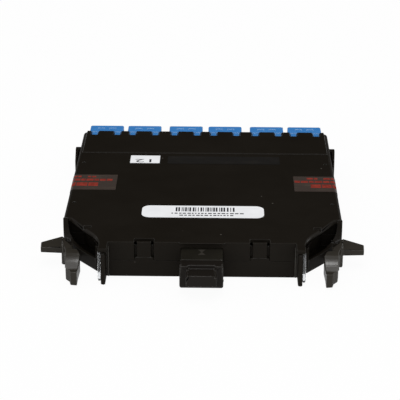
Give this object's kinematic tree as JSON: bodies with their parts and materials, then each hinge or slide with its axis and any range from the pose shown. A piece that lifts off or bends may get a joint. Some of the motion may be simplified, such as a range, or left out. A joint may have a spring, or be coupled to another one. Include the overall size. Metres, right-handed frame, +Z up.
{
  "type": "fibre cassette",
  "caption": "Flat moulded rack cassette that fans one rear multi-fibre MPO connector out to twelve LC ports in six shuttered duplex adapters, held by two squeeze levers.",
  "frame": {"origin": "centre of the housing's flat underside", "axes": "+Z up through the housing, +Y to the LC end, +X to the right seen from the MPO end"},
  "size_m": [0.111, 0.136, 0.0131],
  "materials": {
    "housing_black": "fine spark-eroded black PC/ABS",
    "cap_black": "satin moulded black",
    "lever_grey": "satin dark grey acetal",
    "adapter_blue": "satin blue moulded plastic",
    "shutter_blue": "translucent pale blue",
    "plug_body": "satin blue moulded plastic",
    "sleeve_ceramic": "ground zirconia",
    "ferrule_grey": "glass-filled dark grey",
    "boot_rubber": "soft black",
    "tube_jacket": "yellow buffer tube",
    "fanout_block": "moulded black",
    "spring_steel": "bright drawn wire",
    "label_paper": "matt white label",
    "seal_film": "smoked film",
    "clear_film": "clear film over black"
  },
  "bodies": {
    "cassette": {"base_housing": "housing_black", "top_cover": "housing_black", "lc_adapter_1": "adapter_blue", "alignment_sleeves_1": "sleeve_ceramic", "lc_adapter_2": "adapter_blue", "alignment_sleeves_2": "sleeve_ceramic", "lc_adapter_3": "adapter_blue", "alignment_sleeves_3": "sleeve_ceramic", "lc_adapter_4": "adapter_blue", "alignment_sleeves_4": "sleeve_ceramic", "lc_adapter_5": "adapter_blue", "alignment_sleeves_5": "sleeve_ceramic", "lc_adapter_6": "adapter_blue", "alignment_sleeves_6": "sleeve_ceramic", "lc_plug_1": "plug_body", "fibre_tube_1": "tube_jacket", "lc_plug_2": "plug_body", "fibre_tube_2": "tube_jacket", "lc_plug_3": "plug_body", "fibre_tube_3": "tube_jacket", "lc_plug_4": "plug_body", "fibre_tube_4": "tube_jacket", "lc_plug_5": "plug_body", "fibre_tube_5": "tube_jacket", "lc_plug_6": "plug_body", "fibre_tube_6": "tube_jacket", "lc_plug_7": "plug_body", "fibre_tube_7": "tube_jacket", "lc_plug_8": "plug_body", "fibre_tube_8": "tube_jacket", "lc_plug_9": "plug_body", "fibre_tube_9": "tube_jacket", "lc_plug_10": "plug_body", "fibre_tube_10": "tube_jacket", "lc_plug_11": "plug_body", "fibre_tube_11": "tube_jacket", "lc_plug_12": "plug_body", "fibre_tube_12": "tube_jacket", "mpo_adapter": "housing_black", "mpo_plug_housing": "plug_body", "mpo_ferrule": "ferrule_grey", "mpo_boot": "boot_rubber", "fibre_fanout": "fanout_block", "lever_springs": "spring_steel", "barcode_label": "label_paper", "port_label": "label_paper", "clear_strip": "clear_film", "seal_tape_left": "seal_film", "seal_tape_right": "seal_film"},
    "left_lever": {"left_latch_lever": "lever_grey"},
    "right_lever": {"right_latch_lever": "lever_grey"},
    "mpo_cap": {"mpo_dust_cap": "cap_black"},
    "shutter_1": {"lc_shutter_1": "shutter_blue"},
    "shutter_2": {"lc_shutter_2": "shutter_blue"},
    "shutter_3": {"lc_shutter_3": "shutter_blue"},
    "shutter_4": {"lc_shutter_4": "shutter_blue"},
    "shutter_5": {"lc_shutter_5": "shutter_blue"},
    "shutter_6": {"lc_shutter_6": "shutter_blue"}
  },
  "joints": [
    {"name": "left_lever_squeeze", "type": "hinge", "parent": "cassette", "child": "left_lever", "pos_m": [-0.0464, -0.0416, 0.006], "axis": [0, 0, 1], "range_deg": [0, 10], "stiffness_Nm_per_rad": 0.3},
    {"name": "right_lever_squeeze", "type": "hinge", "parent": "cassette", "child": "right_lever", "pos_m": [0.0464, -0.0416, 0.006], "axis": [0, 0, 1], "range_deg": [-10, 0], "stiffness_Nm_per_rad": 0.3},
    {"name": "mpo_cap_pull", "type": "slide", "parent": "cassette", "child": "mpo_cap", "axis": [0, -1, 0], "range_m": [0, 0.012]},
    {"name": "shutter_1_swing", "type": "hinge", "parent": "cassette", "child": "shutter_1", "pos_m": [-0.0395, 0.0604, 0.01], "axis": [1, 0, 0], "range_deg": [-80, 0], "stiffness_Nm_per_rad": 0.0006},
    {"name": "shutter_2_swing", "type": "hinge", "parent": "cassette", "child": "shutter_2", "pos_m": [-0.0244, 0.0604, 0.01], "axis": [1, 0, 0], "range_deg": [-80, 0], "stiffness_Nm_per_rad": 0.0006},
    {"name": "shutter_3_swing", "type": "hinge", "parent": "cassette", "child": "shutter_3", "pos_m": [-0.0078, 0.0604, 0.01], "axis": [1, 0, 0], "range_deg": [-80, 0], "stiffness_Nm_per_rad": 0.0006},
    {"name": "shutter_4_swing", "type": "hinge", "parent": "cassette", "child": "shutter_4", "pos_m": [0.0078, 0.0604, 0.01], "axis": [1, 0, 0], "range_deg": [-80, 0], "stiffness_Nm_per_rad": 0.0006},
    {"name": "shutter_5_swing", "type": "hinge", "parent": "cassette", "child": "shutter_5", "pos_m": [0.0244, 0.0604, 0.01], "axis": [1, 0, 0], "range_deg": [-80, 0], "stiffness_Nm_per_rad": 0.0006},
    {"name": "shutter_6_swing", "type": "hinge", "parent": "cassette", "child": "shutter_6", "pos_m": [0.0395, 0.0604, 0.01], "axis": [1, 0, 0], "range_deg": [-80, 0], "stiffness_Nm_per_rad": 0.0006}
  ]
}
